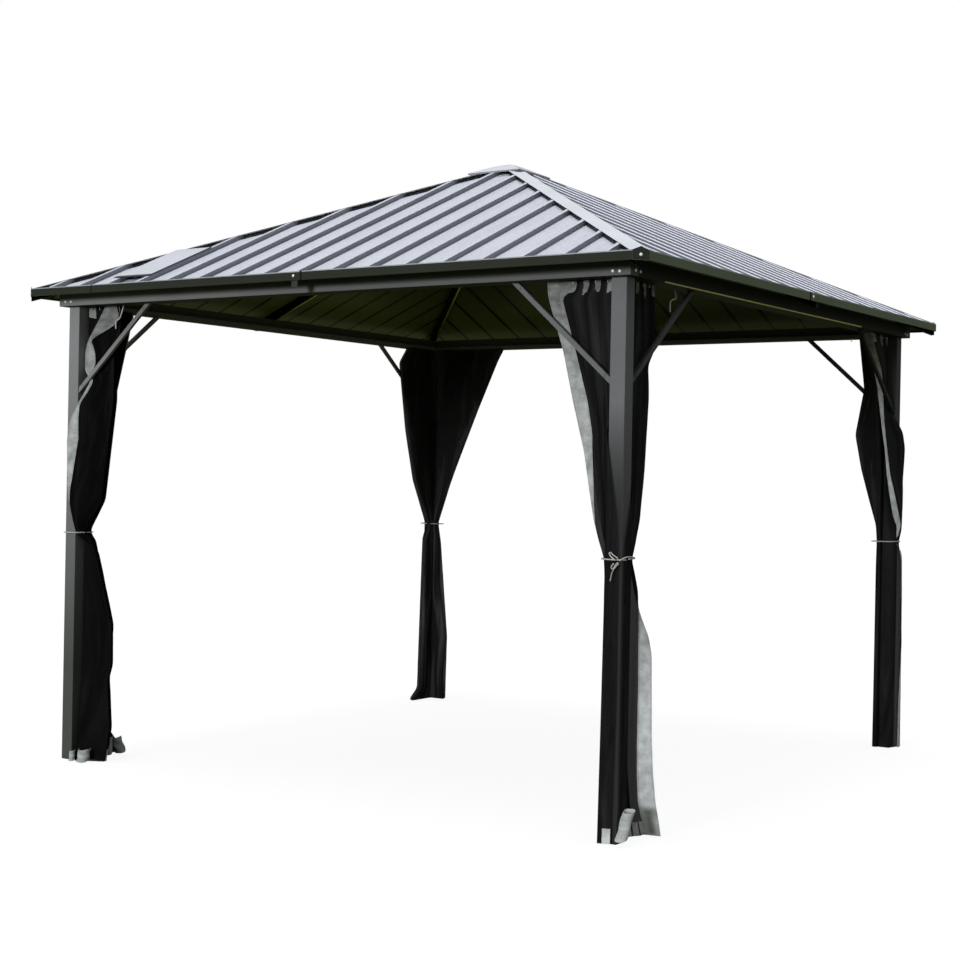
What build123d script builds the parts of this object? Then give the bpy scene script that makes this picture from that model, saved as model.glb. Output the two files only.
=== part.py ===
from math import atan, cos, pi, radians, sin, sqrt
import os

from build123d import *

os.makedirs("parts", exist_ok=True)

# Plan of the gazebo, in millimetres
eave_span = 3000.0
eave_overhang = 135.0
post_size = 60.0
beam_proud = 30.5

# Heights above the ground
head_height = 1950.0
eave_lift = 46.0
roof_rise_share = 0.218

# Beams with their curtain rail
beam_width = 60.0
rail_height = 18.0
rafter_seat = 10.0

# Knee braces
brace_run = 400.0
side_brace_run = 458.0
brace_drop = 359.0
brace_height = 18.5
brace_depth = 15.0
brace_setback = 5.0

# Roof sheets, their standing ribs and their trims
sheet_thickness = 2.0
rib_width = 20.0
rib_height = 20.0
rib_pitch_share = 0.0563
ribs_each_way = 8
fascia_height = 35.0
fascia_lip = 24.5
fascia_thickness = 3.0
hip_cap_width = 74.0
hip_cap_thickness = 2.0
hip_web_width = 24.0
corner_face = 58.0
corner_peak = 12.0
top_cap_span = 270.0
top_cap_shoulder = 50.0
top_cap_crown = 13.5
top_cap_thickness = 8.0

# Rafters and the block they meet at
rafter_width = 30.0
rafter_depth = 35.0
hub_span = 140.0
hub_height = 55.0
hub_sides = 8

# Gathered netting and its ties
netting_depth = 26.0
netting_clear = 0.3
netting_top = 300.0
netting_waist = 45.0
netting_foot = 150.0
netting_lift = 4.0
tie_height_share = 0.5
tie_size = 5.0

# How far a cut runs past what it cuts
overrun = 100.0

# Sizes that follow from those above
eave_half = eave_span / 2
post_half = eave_half - eave_overhang
post_inner = post_half - post_size
beam_half = post_half + beam_proud
beam_inner = beam_half - beam_width
eave_height = head_height + eave_lift
roof_rise = eave_span * roof_rise_share
pitch = roof_rise / eave_half
pitch_angle = atan(pitch)
sheet_drop = sheet_thickness / cos(pitch_angle)
rib_lift = rib_height / cos(pitch_angle)
rib_pitch = eave_span * rib_pitch_share
fascia_top = eave_height + fascia_lip
fascia_bottom = fascia_top - fascia_height
fascia_inner = eave_half - fascia_thickness
hub_half = hub_span / 2
cap_half = hip_cap_width / 2
corner_cut = corner_face / sqrt(2)
corner_reach = (2 * eave_half - corner_cut) / sqrt(2)
corner_inner = corner_reach - hip_cap_thickness
hip_fall = pitch / sqrt(2)
hip_cap_rise = rib_lift - hip_fall * cap_half
hip_cap_skin = hip_cap_thickness / cos(atan(hip_fall))
top_cap_half = top_cap_span / 2
tie_height = head_height * tie_height_share
netting_middle = (post_inner + beam_inner) / 2


# Heights of the roof at a distance out from the middle of the plan
def sheet_top(reach):
    return eave_height + (eave_half - reach) * pitch


def sheet_under(reach):
    return sheet_top(reach) - sheet_drop


def rafter_under(reach):
    return sheet_under(reach) - rafter_depth


def hip_cap_under(diagonal):
    return sheet_top(diagonal / sqrt(2)) + hip_cap_rise


beam_top = rafter_under(beam_half - rafter_seat)
peak = sheet_top(0) + rib_lift + top_cap_thickness + overrun


# Upright plane that looks along a side, with its first axis pointing out
def section_plane(turn):
    return Plane(
        origin=(0, 0, 0),
        x_dir=(cos(turn), sin(turn), 0),
        z_dir=(sin(turn), -cos(turn), 0),
    )


# Upright plane that faces out of a side, with its first axis along the side
def face_plane(turn):
    return Plane(
        origin=(0, 0, 0),
        x_dir=(-sin(turn), cos(turn), 0),
        z_dir=(cos(turn), sin(turn), 0),
    )


# Level plane with its first axis pointing out of a side
def level_plane(turn, height):
    return Plane(
        origin=(0, 0, height),
        x_dir=(cos(turn), sin(turn), 0),
        z_dir=(0, 0, 1),
    )


# Direction of the hip at a corner, seen from above
def hip_turn(side, next_side):
    middle = (side[1] + next_side[1]) / 2
    return middle if next_side[1] > side[1] else middle + pi


# Outline of one quarter of the roof inside the edge trims, seen from above
def quarter_points(cut):
    hip = eave_half - cut / 2
    side = 2 * hip - fascia_inner
    return [(0, 0), (hip, hip), (fascia_inner, side), (fascia_inner, -side), (hip, -hip)]


# Section of everything above the underside of the sheets on one side
def over_sheet_points():
    far = eave_half + overrun
    return [(0, sheet_under(0)), (far, sheet_under(far)), (far, peak), (0, peak)]


sides = [
    ("front", radians(-90)),
    ("right", radians(0)),
    ("back", radians(90)),
    ("left", radians(180)),
]
corners = [
    ("front_right", sides[0], sides[1]),
    ("back_right", sides[1], sides[2]),
    ("back_left", sides[2], sides[3]),
    ("front_left", sides[3], sides[0]),
]
rib_places = [rib_pitch * step for step in range(-ribs_each_way, ribs_each_way + 1)]

# Posts and the blocks over them that the beams run into
for name, side, next_side in corners:
    with BuildPart() as post:
        with BuildSketch(level_plane(side[1], 0)):
            with BuildLine():
                Polyline(
                    (post_inner, post_inner),
                    (post_half, post_inner),
                    (post_half, post_half),
                    (post_inner, post_half),
                    close=True,
                )
            make_face()
        extrude(amount=head_height)
    post.part.label = "post_" + name
    export_step(post.part, "parts/post_" + name + ".step")

    with BuildPart() as block:
        with BuildSketch(level_plane(side[1], head_height)):
            with BuildLine():
                Polyline(
                    (beam_inner, beam_inner),
                    (beam_half, beam_inner),
                    (beam_half, beam_half),
                    (beam_inner, beam_half),
                    close=True,
                )
            make_face()
        extrude(amount=beam_top - head_height)
    block.part.label = "corner_block_" + name
    export_step(block.part, "parts/corner_block_" + name + ".step")

# Beams, each with a rail for the netting along the foot of its inner face
for name, turn in sides:
    with BuildPart() as beam:
        with BuildSketch(section_plane(turn)):
            with BuildLine():
                Polyline(
                    (beam_inner, head_height),
                    (beam_half, head_height),
                    (beam_half, beam_top),
                    (beam_inner, beam_top),
                    close=True,
                )
            make_face()
        extrude(amount=beam_inner, both=True)
        with BuildSketch(section_plane(turn)):
            with BuildLine():
                Polyline(
                    (post_inner, head_height),
                    (beam_inner, head_height),
                    (beam_inner, head_height + rail_height),
                    (post_inner, head_height + rail_height),
                    close=True,
                )
            make_face()
        extrude(amount=post_inner, both=True)
    beam.part.label = name + "_beam"
    export_step(beam.part, "parts/" + name + "_beam.step")

# Knee braces, two at each post, cut to sit on the post and under the beam
brace_inner = post_half - brace_setback - brace_depth
for name, side, next_side in corners:
    with BuildPart() as braces:
        for hand, (where, turn) in [(1, side), (-1, next_side)]:
            run = brace_run if where in ("front", "back") else side_brace_run
            brace_slope = atan(brace_drop / run)
            on_post = brace_height / cos(brace_slope) / 2
            on_beam = brace_height / sin(brace_slope) / 2
            with BuildSketch(face_plane(turn).offset(brace_inner)):
                with BuildLine():
                    Polyline(
                        (hand * post_inner, head_height - brace_drop - on_post),
                        (hand * post_inner, head_height - brace_drop + on_post),
                        (hand * (post_inner - run + on_beam), head_height),
                        (hand * (post_inner - run - on_beam), head_height),
                        close=True,
                    )
                make_face()
            extrude(amount=brace_depth)
    braces.part.label = "braces_" + name
    export_step(braces.part, "parts/braces_" + name + ".step")

# Edge trims round the eaves, standing up past the ends of the ribs
fascia_reach = eave_half - corner_cut - hip_cap_thickness / sqrt(2)
for name, turn in sides:
    with BuildPart() as fascia:
        with BuildSketch(section_plane(turn)):
            with BuildLine():
                Polyline(
                    (fascia_inner, fascia_bottom),
                    (eave_half, fascia_bottom),
                    (eave_half, fascia_top),
                    (fascia_inner, fascia_top),
                    close=True,
                )
            make_face()
        extrude(amount=fascia_reach, both=True)
    fascia.part.label = name + "_fascia"
    export_step(fascia.part, "parts/" + name + "_fascia.step")

# Rafters from the block at the peak to the middle of each edge trim
for name, turn in sides:
    with BuildPart() as rafter:
        with BuildSketch(section_plane(turn)):
            with BuildLine():
                Polyline(
                    (hub_half, rafter_under(hub_half)),
                    (fascia_inner, rafter_under(fascia_inner)),
                    (fascia_inner, sheet_under(fascia_inner)),
                    (hub_half, sheet_under(hub_half)),
                    close=True,
                )
            make_face()
        extrude(amount=rafter_width / 2, both=True)
        with BuildSketch(Plane.XY.offset(head_height)):
            Rectangle(2 * beam_half, 2 * beam_half)
        extrude(amount=beam_top - head_height, mode=Mode.SUBTRACT)
    rafter.part.label = name + "_rafter"
    export_step(rafter.part, "parts/" + name + "_rafter.step")

# Hip rafters from the block at the peak to the corners, topped to fit both sheets
for name, side, next_side in corners:
    with BuildPart() as hip_rafter:
        with BuildSketch(section_plane(hip_turn(side, next_side))):
            with BuildLine():
                Polyline(
                    (hub_half, rafter_under(hub_half / sqrt(2))),
                    (corner_inner, rafter_under(corner_inner / sqrt(2))),
                    (corner_inner, sheet_under(corner_inner / sqrt(2))),
                    (hub_half, sheet_under(hub_half / sqrt(2))),
                    close=True,
                )
            make_face()
        extrude(amount=rafter_width / 2, both=True)
        for turn in [side[1], next_side[1]]:
            with BuildSketch(section_plane(turn)):
                with BuildLine():
                    Polyline(over_sheet_points(), close=True)
                make_face()
            extrude(amount=eave_half, both=True, mode=Mode.SUBTRACT)
        with BuildSketch(Plane.XY.offset(head_height)):
            Rectangle(2 * beam_half, 2 * beam_half)
        extrude(amount=beam_top - head_height, mode=Mode.SUBTRACT)
    hip_rafter.part.label = "hip_rafter_" + name
    export_step(hip_rafter.part, "parts/hip_rafter_" + name + ".step")

# Block under the peak that the rafters butt against
with BuildPart() as hub:
    with BuildSketch(Plane.XY.offset(sheet_under(hub_half) - hub_height)):
        RegularPolygon(hub_half, hub_sides, major_radius=False, rotation=180 / hub_sides)
    extrude(amount=hub_height)
hub.part.label = "peak_block"
export_step(hub.part, "parts/peak_block.step")


# Sloping plane along the underside of a hip cap
def hip_plane(turn):
    return Plane(
        origin=(0, 0, hip_cap_under(0)),
        x_dir=(cos(turn), sin(turn), -hip_fall),
        z_dir=(hip_fall * cos(turn), hip_fall * sin(turn), 1),
    )


# Section of a hip cap's flat strip, and of the web between it and the ridge of the sheets
cap_start = hip_cap_width
cap_end = fascia_inner * sqrt(2) - cap_half


def strip_points(end):
    return [
        (cap_start, hip_cap_under(cap_start)),
        (end, hip_cap_under(end)),
        (end, hip_cap_under(end) + hip_cap_skin),
        (cap_start, hip_cap_under(cap_start) + hip_cap_skin),
    ]


def web_points():
    return [
        (cap_start, sheet_top(cap_start / sqrt(2))),
        (cap_end, sheet_top(cap_end / sqrt(2))),
        (cap_end, hip_cap_under(cap_end)),
        (cap_start, hip_cap_under(cap_start)),
    ]


# Roof sheets with standing ribs, one on each side, trimmed under the hip caps
panel_cut = corner_cut + hip_cap_thickness * sqrt(2)
for place, (name, turn) in enumerate(sides):
    with BuildPart() as panel:
        with BuildSketch(section_plane(turn)):
            with BuildLine():
                Polyline(
                    (0, sheet_under(0)),
                    (eave_half, sheet_under(eave_half)),
                    (eave_half, sheet_top(eave_half)),
                    (0, sheet_top(0)),
                    close=True,
                )
            make_face()
        extrude(amount=eave_half, both=True)
        for rib_place in rib_places:
            with BuildSketch(section_plane(turn).offset(rib_place - rib_width / 2)):
                with BuildLine():
                    Polyline(
                        (0, sheet_top(0)),
                        (eave_half, sheet_top(eave_half)),
                        (eave_half, sheet_top(eave_half) + rib_lift),
                        (0, sheet_top(0) + rib_lift),
                        close=True,
                    )
                make_face()
            extrude(amount=rib_width)
        with BuildSketch(level_plane(turn, head_height)):
            with BuildLine():
                Polyline(quarter_points(panel_cut), close=True)
            make_face()
        extrude(amount=peak - head_height, mode=Mode.INTERSECT)
        for corner in [corners[place], corners[place - 1]]:
            with BuildSketch(hip_plane(hip_turn(corner[1], corner[2]))):
                Rectangle(2 * eave_span, 2 * eave_span)
            extrude(amount=overrun, mode=Mode.SUBTRACT)
            with BuildSketch(section_plane(hip_turn(corner[1], corner[2]))):
                with BuildLine():
                    Polyline(web_points(), close=True)
                make_face()
            extrude(amount=hip_web_width / 2, both=True, mode=Mode.SUBTRACT)
    panel.part.label = name + "_roof_panel"
    export_step(panel.part, "parts/" + name + "_roof_panel.step")

# Flat caps along the hips, each with a web on the ridge and a plate that closes the eaves' corner
for name, side, next_side in corners:
    with BuildPart() as hip_cap:
        with BuildSketch(section_plane(hip_turn(side, next_side))):
            with BuildLine():
                Polyline(strip_points(cap_end), close=True)
            make_face()
        extrude(amount=cap_half, both=True)
        with BuildSketch(section_plane(hip_turn(side, next_side))):
            with BuildLine():
                Polyline(strip_points(corner_reach), close=True)
            make_face()
            with BuildLine():
                Polyline(web_points(), close=True)
            make_face()
        extrude(amount=hip_web_width / 2, both=True)
        with BuildSketch(face_plane(hip_turn(side, next_side)).offset(corner_inner)):
            with BuildLine():
                Polyline(
                    (-corner_face / 2, fascia_bottom),
                    (corner_face / 2, fascia_bottom),
                    (corner_face / 2, fascia_top),
                    (0, fascia_top + corner_peak),
                    (-corner_face / 2, fascia_top),
                    close=True,
                )
            make_face()
        extrude(amount=hip_cap_thickness)
    hip_cap.part.label = "hip_cap_" + name
    export_step(hip_cap.part, "parts/hip_cap_" + name + ".step")

# Small cap over the peak, hollow below and notched over the hip caps
cap_foot = sheet_top(top_cap_half) + rib_lift
cap_shoulder = sheet_top(top_cap_shoulder) + rib_lift
cap_crown = cap_shoulder + top_cap_crown


# Section of the space under the peak cap, and of the cap itself
def under_cap_points():
    return [
        (-top_cap_half, cap_foot),
        (top_cap_half, cap_foot),
        (top_cap_shoulder, cap_shoulder),
        (0, cap_crown),
        (-top_cap_shoulder, cap_shoulder),
    ]


def over_cap_points():
    return [
        (-top_cap_half, cap_foot),
        (top_cap_half, cap_foot),
        (top_cap_half, cap_foot + top_cap_thickness),
        (top_cap_shoulder, cap_shoulder + top_cap_thickness),
        (0, cap_crown + top_cap_thickness),
        (-top_cap_shoulder, cap_shoulder + top_cap_thickness),
        (-top_cap_half, cap_foot + top_cap_thickness),
    ]


with BuildPart() as cap_core:
    with BuildSketch(Plane.XZ):
        with BuildLine():
            Polyline(under_cap_points(), close=True)
        make_face()
    extrude(amount=top_cap_half, both=True)
    with BuildSketch(Plane.YZ):
        with BuildLine():
            Polyline(under_cap_points(), close=True)
        make_face()
    extrude(amount=top_cap_half, both=True, mode=Mode.INTERSECT)

with BuildPart() as top_cap:
    with BuildSketch(Plane.XZ):
        with BuildLine():
            Polyline(over_cap_points(), close=True)
        make_face()
    extrude(amount=top_cap_half, both=True)
    with BuildSketch(Plane.YZ):
        with BuildLine():
            Polyline(over_cap_points(), close=True)
        make_face()
    extrude(amount=top_cap_half, both=True, mode=Mode.INTERSECT)
    add(cap_core.part, mode=Mode.SUBTRACT)
    for corner in corners:
        with BuildSketch(section_plane(hip_turn(corner[1], corner[2]))):
            with BuildLine():
                Polyline(strip_points(cap_end), close=True)
            make_face()
        extrude(amount=cap_half, both=True, mode=Mode.SUBTRACT)
        with BuildSketch(section_plane(hip_turn(corner[1], corner[2]))):
            with BuildLine():
                Polyline(web_points(), close=True)
            make_face()
        extrude(amount=hip_web_width / 2, both=True, mode=Mode.SUBTRACT)
top_cap.part.label = "top_cap"
export_step(top_cap.part, "parts/top_cap.step")

# Gathered netting beside each post, one bunch along each of its two beams
netting_edge = post_inner - netting_clear
for name, side, next_side in corners:
    with BuildPart() as netting:
        for hand, turn in [(1, side[1]), (-1, next_side[1])]:
            with BuildSketch(face_plane(turn).offset(netting_middle - netting_depth / 2)):
                with BuildLine():
                    Polyline(
                        (hand * netting_edge, netting_lift),
                        (hand * netting_edge, head_height),
                        (hand * (netting_edge - netting_top), head_height),
                        (hand * (netting_edge - netting_waist), tie_height),
                        (hand * (netting_edge - netting_foot), netting_lift),
                        close=True,
                    )
                make_face()
            extrude(amount=netting_depth)
    netting.part.label = "netting_" + name
    export_step(netting.part, "parts/netting_" + name + ".step")

# Ties drawn round each post and the netting beside it
tie_near = netting_middle - netting_depth / 2
tie_far = netting_middle + netting_depth / 2
netting_spread = (netting_top - netting_waist) / (head_height - tie_height)
tie_back = netting_edge - netting_waist - netting_spread * tie_size
for name, side, next_side in corners:
    with BuildPart() as tie:
        tie_points = [
            (post_half, post_half),
            (post_half, post_inner),
            (tie_far, tie_back),
            (tie_near, tie_back),
            (tie_back, tie_near),
            (tie_back, tie_far),
            (post_inner, post_half),
        ]
        with BuildSketch(level_plane(side[1], tie_height)):
            with BuildLine():
                Polyline(tie_points, close=True)
            make_face()
            offset(amount=tie_size)
        extrude(amount=tie_size)
        with BuildSketch(level_plane(side[1], tie_height)):
            with BuildLine():
                Polyline(tie_points, close=True)
            make_face()
        extrude(amount=tie_size, mode=Mode.SUBTRACT)
    tie.part.label = "tie_" + name
    export_step(tie.part, "parts/tie_" + name + ".step")
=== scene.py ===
# %% [markdown]
# # A garden gazebo with a ribbed steel roof and gathered netting
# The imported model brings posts, beams, braces, trim and roof as clean solids. This lesson dresses them:
# paint for the steel, cloth for the netting, cord for the ties, and the small bolts and hooks that a
# plain solid leaves out. Everything is in metres, the front looks to -Y, and the floor is at z = 0.

# %% Load the frame
import math
import bpy
import numpy as np
from mathutils import Matrix, Vector, noise


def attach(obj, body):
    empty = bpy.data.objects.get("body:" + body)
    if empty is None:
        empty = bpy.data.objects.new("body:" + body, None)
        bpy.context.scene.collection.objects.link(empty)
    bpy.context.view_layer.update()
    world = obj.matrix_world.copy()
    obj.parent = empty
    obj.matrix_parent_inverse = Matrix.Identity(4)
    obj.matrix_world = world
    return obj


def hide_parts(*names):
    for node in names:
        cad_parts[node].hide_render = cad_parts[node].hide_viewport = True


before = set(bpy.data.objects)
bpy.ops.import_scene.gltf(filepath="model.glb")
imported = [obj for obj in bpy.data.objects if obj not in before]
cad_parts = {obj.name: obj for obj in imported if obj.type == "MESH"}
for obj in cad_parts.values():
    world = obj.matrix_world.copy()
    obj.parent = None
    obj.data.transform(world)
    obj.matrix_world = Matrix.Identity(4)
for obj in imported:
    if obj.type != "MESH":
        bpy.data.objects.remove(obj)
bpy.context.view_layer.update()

# Lines of the frame, as distances from its middle
post_inner, brace_face, beam_face = 1.305, 1.360, 1.3955

# %% [markdown]
# ## Camera
# The view stands a little under eye height, 33.6 degrees to the right of the front. Its place and tilt
# were found from the corners of posts, beams and eaves, so it is given as numbers. The three axes of the
# camera make its turn matrix, which is surer than three angles.

# %% Camera
yaw, pitch, roll = math.radians(33.56), math.radians(-0.199), math.radians(1.097)
forward = Vector((-math.sin(yaw) * math.cos(pitch), math.cos(yaw) * math.cos(pitch), math.sin(pitch)))
level_right = Vector((math.cos(yaw), math.sin(yaw), 0))
level_up = level_right.cross(forward)
right = math.cos(roll) * level_right + math.sin(roll) * level_up
up = -math.sin(roll) * level_right + math.cos(roll) * level_up
eye = bpy.data.cameras.new("eye")
sensor_mm, lens_mm = 36, 63.262
eye.sensor_width, eye.lens = sensor_mm, lens_mm
camera = bpy.data.objects.new("camera", eye)
bpy.context.collection.objects.link(camera)
turn = Matrix((right, up, -forward)).transposed().to_4x4()
camera_place = (4.1504, -6.4491, 1.2624)
camera.matrix_world = Matrix.Translation(camera_place) @ turn
bpy.context.scene.camera = camera
bpy.context.scene.view_settings.view_transform = "Standard"
print("camera at", tuple(round(v, 3) for v in camera.matrix_world.translation))

# %% [markdown]
# ## Light, world and floor
# A soft low lamp from the front makes the front faces lighter than the right ones, and a soft lamp
# from above lights the roof. The world is white to the camera and a quiet grey to everything else, so the
# dark underside stays dark. The floor is white to the camera, keeps a faint shadow under the object, and
# gives the rest of the scene only the dim olive light that a lawn sends up under the eaves.

# %% Lamps
def soft_sun(name, towards, strength, spread):
    lamp = bpy.data.lights.new(name, "SUN")
    lamp.energy, lamp.angle = strength, math.radians(spread)
    sun = bpy.data.objects.new(name, lamp)
    bpy.context.collection.objects.link(sun)
    sun.rotation_euler = Vector(towards).to_track_quat("-Z", "Y").to_euler()
    return sun


soft_sun("key_sun", towards=(0.0, 0.97, -0.125), strength=2.0, spread=13)
soft_sun("top_sun", towards=(0.05, 0.10, -1.0), strength=1.25, spread=40)
print("two soft suns")

# %% World
world = bpy.data.worlds.new("studio")
bpy.context.scene.world = world
world.use_nodes = True
sky = world.node_tree
sky.nodes.clear()
sky_out = sky.nodes.new("ShaderNodeOutputWorld")
sky_ray = sky.nodes.new("ShaderNodeLightPath")
sky_seen = sky.nodes.new("ShaderNodeMath")
sky_seen.operation = "MAXIMUM"
sky_lit = sky.nodes.new("ShaderNodeBackground")
sky_lit.inputs["Color"].default_value = (0.93, 0.96, 1.0, 1)
sky_lit.inputs["Strength"].default_value = 0.42
sky_white = sky.nodes.new("ShaderNodeBackground")
sky_white.inputs["Color"].default_value = (1, 1, 1, 1)
sky_mix = sky.nodes.new("ShaderNodeMixShader")
sky.links.new(sky_ray.outputs["Is Camera Ray"], sky_seen.inputs[0])
sky.links.new(sky_ray.outputs["Is Transmission Ray"], sky_seen.inputs[1])
sky.links.new(sky_seen.outputs[0], sky_mix.inputs[0])
sky.links.new(sky_lit.outputs[0], sky_mix.inputs[1])
sky.links.new(sky_white.outputs[0], sky_mix.inputs[2])
sky.links.new(sky_mix.outputs[0], sky_out.inputs["Surface"])
print("world: white to the camera")

# %% Floor
bpy.ops.object.select_all(action="DESELECT")
bpy.ops.mesh.primitive_plane_add(size=80, location=(0, 0, 0))
floor = bpy.context.object
floor.name = "floor"
floor_paint = bpy.data.materials.new("floor_paint")
floor_paint.use_nodes = True
ft = floor_paint.node_tree
ft.nodes.clear()
floor_out = ft.nodes.new("ShaderNodeOutputMaterial")
floor_ray = ft.nodes.new("ShaderNodeLightPath")
floor_dim = ft.nodes.new("ShaderNodeBsdfDiffuse")
floor_dim.inputs["Color"].default_value = (0.135, 0.15, 0.075, 1)
floor_glow = ft.nodes.new("ShaderNodeEmission")
floor_glow.inputs["Strength"].default_value = 0.90
floor_shade = ft.nodes.new("ShaderNodeBsdfDiffuse")
floor_shade.inputs["Color"].default_value = (0.16, 0.16, 0.16, 1)
floor_both = ft.nodes.new("ShaderNodeAddShader")
floor_mix = ft.nodes.new("ShaderNodeMixShader")
ft.links.new(floor_glow.outputs[0], floor_both.inputs[0])
ft.links.new(floor_shade.outputs[0], floor_both.inputs[1])
ft.links.new(floor_ray.outputs["Is Camera Ray"], floor_mix.inputs[0])
ft.links.new(floor_dim.outputs[0], floor_mix.inputs[1])
ft.links.new(floor_both.outputs[0], floor_mix.inputs[2])
ft.links.new(floor_mix.outputs[0], floor_out.inputs["Surface"])
floor.data.materials.append(floor_paint)
print("floor", floor.dimensions[:])

# %% [markdown]
# ## Painted steel
# The posts, beams and trim are powder coated: a matt skin with a very fine grain, slightly cloudy. One
# node group makes the cloud and the grain, and each paint gives it its own colour. A few small helpers
# keep the node work short: near gives 1 close to a middle, fade climbs from 0 to 1 between two values,
# and wave is a sine of a given length.

# %% Node helpers
def add(tree, kind, **values):
    node = tree.nodes.new(kind)
    for name, value in values.items():
        if name in node.inputs:
            node.inputs[name].default_value = value
        else:
            setattr(node, name, value)
    return node


def wire(tree, source, target):
    tree.links.new(source, target)


def put(tree, socket, value):
    if isinstance(value, (int, float, tuple)):
        socket.default_value = value
    else:
        wire(tree, value, socket)


def sums(tree, operation, first, second=0.0):
    node = tree.nodes.new("ShaderNodeMath")
    node.operation = operation
    put(tree, node.inputs[0], first)
    put(tree, node.inputs[1], second)
    return node.outputs[0]


def blend(tree, share, first, second):
    node = tree.nodes.new("ShaderNodeMix")
    node.data_type = "RGBA"
    sockets = (node.inputs["Factor"], node.inputs[6], node.inputs[7])
    for socket, value in zip(sockets, (share, first, second)):
        put(tree, socket, value)
    return node.outputs[2]


def fade(tree, value, low, high):
    node = add(tree, "ShaderNodeMapRange", clamp=True)
    node.inputs["From Min"].default_value = low
    node.inputs["From Max"].default_value = high
    wire(tree, value, node.inputs["Value"])
    return node.outputs["Result"]


def times(tree, first, *others):
    for other in others:
        first = sums(tree, "MULTIPLY", first, other)
    return first


def minus(tree, value):
    return times(tree, value, -1.0)


def near(tree, value, middle, half):
    return sums(tree, "LESS_THAN", sums(tree, "ABSOLUTE", sums(tree, "SUBTRACT", value, middle)), half)


def wave(tree, value, length):
    return sums(tree, "SINE", times(tree, value, 2 * math.pi / length))


def place_and_facing(tree):
    spot = tree.nodes.new("ShaderNodeTexCoord")
    place, facing = [tree.nodes.new("ShaderNodeSeparateXYZ") for k in range(2)]
    wire(tree, spot.outputs["Object"], place.inputs[0])
    wire(tree, spot.outputs["Normal"], facing.inputs[0])
    return place.outputs, facing.outputs


print("node helpers ready")

# %% The grain of powder coat
coat = bpy.data.node_groups.new("coat_grain", "ShaderNodeTree")
coat_inputs = (
    ("Paint", "NodeSocketColor", (0.1, 0.1, 0.1, 1)), ("Cloud", "NodeSocketFloat", 0.12),
    ("Gloss", "NodeSocketFloat", 0.45), ("Speck", "NodeSocketFloat", 0.3),
)
coat_outputs = (
    ("Color", "NodeSocketColor"), ("Roughness", "NodeSocketFloat"), ("Height", "NodeSocketFloat"),
)
for socket, kind, value in coat_inputs:
    coat.interface.new_socket(name=socket, in_out="INPUT", socket_type=kind).default_value = value
for socket, kind in coat_outputs:
    coat.interface.new_socket(name=socket, in_out="OUTPUT", socket_type=kind)
coat_in, coat_out = coat.nodes.new("NodeGroupInput"), coat.nodes.new("NodeGroupOutput")
coat_spot = coat.nodes.new("ShaderNodeTexCoord")
cloud = add(coat, "ShaderNodeTexNoise", Scale=4.5, Detail=4.0)
speck = add(coat, "ShaderNodeTexNoise", Scale=210.0, Detail=3.0)
for texture in (cloud, speck):
    wire(coat, coat_spot.outputs["Object"], texture.inputs["Vector"])
cloud_amount = times(coat, sums(coat, "SUBTRACT", cloud.outputs["Fac"], 0.5), coat_in.outputs["Cloud"])
speck_amount = times(coat, sums(coat, "SUBTRACT", speck.outputs["Fac"], 0.5), coat_in.outputs["Speck"])
level = sums(coat, "ADD", sums(coat, "ADD", cloud_amount, speck_amount), 1.0)
scaled = add(coat, "ShaderNodeVectorMath", operation="SCALE")
wire(coat, coat_in.outputs["Paint"], scaled.inputs[0])
wire(coat, level, scaled.inputs["Scale"])
wire(coat, scaled.outputs["Vector"], coat_out.inputs["Color"])
coat_gloss = sums(coat, "ADD", coat_in.outputs["Gloss"], times(coat, cloud_amount, 0.6))
wire(coat, coat_gloss, coat_out.inputs["Roughness"])
wire(coat, speck.outputs["Fac"], coat_out.inputs["Height"])
print("group coat_grain:", len(coat.nodes), "nodes")

# %% A coated finish
def coated(name, cloud_share, gloss, shine, speck_share=0.3, metallic=0.0):
    finish = bpy.data.materials.new(name)
    finish.use_nodes = True
    tree = finish.node_tree
    skin = tree.nodes["Principled BSDF"]
    skin.inputs["Metallic"].default_value = metallic
    skin.inputs["Specular IOR Level"].default_value = shine
    grain = add(tree, "ShaderNodeGroup", node_tree=coat)
    grain.inputs["Cloud"].default_value = cloud_share
    grain.inputs["Gloss"].default_value = gloss
    grain.inputs["Speck"].default_value = speck_share
    bump = add(tree, "ShaderNodeBump", Strength=0.12, Distance=0.0004)
    wire(tree, grain.outputs["Color"], skin.inputs["Base Color"])
    wire(tree, grain.outputs["Roughness"], skin.inputs["Roughness"])
    wire(tree, grain.outputs["Height"], bump.inputs["Height"])
    wire(tree, bump.outputs["Normal"], skin.inputs["Normal"])
    return finish, tree, grain.inputs["Paint"]


bolt_zinc, tree, paint = coated("bolt_zinc", 0.2, 0.32, 0.5, metallic=0.25)
paint.default_value = (0.90, 0.91, 0.92, 1)
print("a coated finish, and zinc for bolts")
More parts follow.
